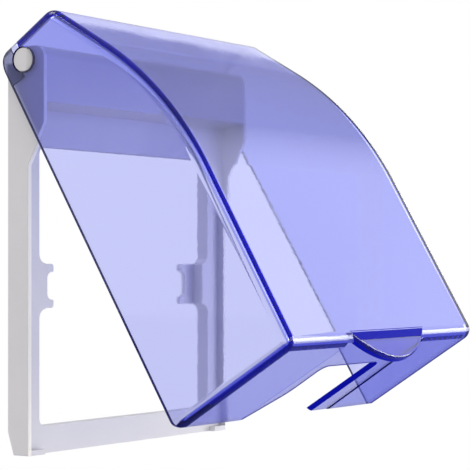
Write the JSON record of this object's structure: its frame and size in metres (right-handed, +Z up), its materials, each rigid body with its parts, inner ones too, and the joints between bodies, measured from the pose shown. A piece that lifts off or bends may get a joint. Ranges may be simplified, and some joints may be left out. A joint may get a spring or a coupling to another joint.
{
  "type": "waterproof socket cover",
  "caption": "Wall socket splash cover: a moulded base frame round a square window, and a clear blue bowed lid that swings up on the frame's top pins, with a cable slot and finger lip.",
  "frame": {"origin": "middle of the back face of the frame's top rail, on the wall plane", "axes": "+Y into the wall, -Y out of it through the cover's front, +Z up, +X to the right seen from the front"},
  "size_m": [0.0946, 0.0864, 0.1094],
  "materials": {
    "frame_grey": "light warm grey moulded ABS, fine satin texture",
    "clear_blue": "transparent blue moulded plastic, polished"
  },
  "bodies": {
    "frame": {"base_frame": "frame_grey"},
    "cover": {"splash_cover": "clear_blue"}
  },
  "joints": [
    {"name": "cover_hinge", "type": "hinge", "parent": "frame", "child": "cover", "pos_m": [0, -0.0064, 0.0025], "axis": [-1, 0, 0], "range_deg": [-30.5, 54.5]}
  ]
}
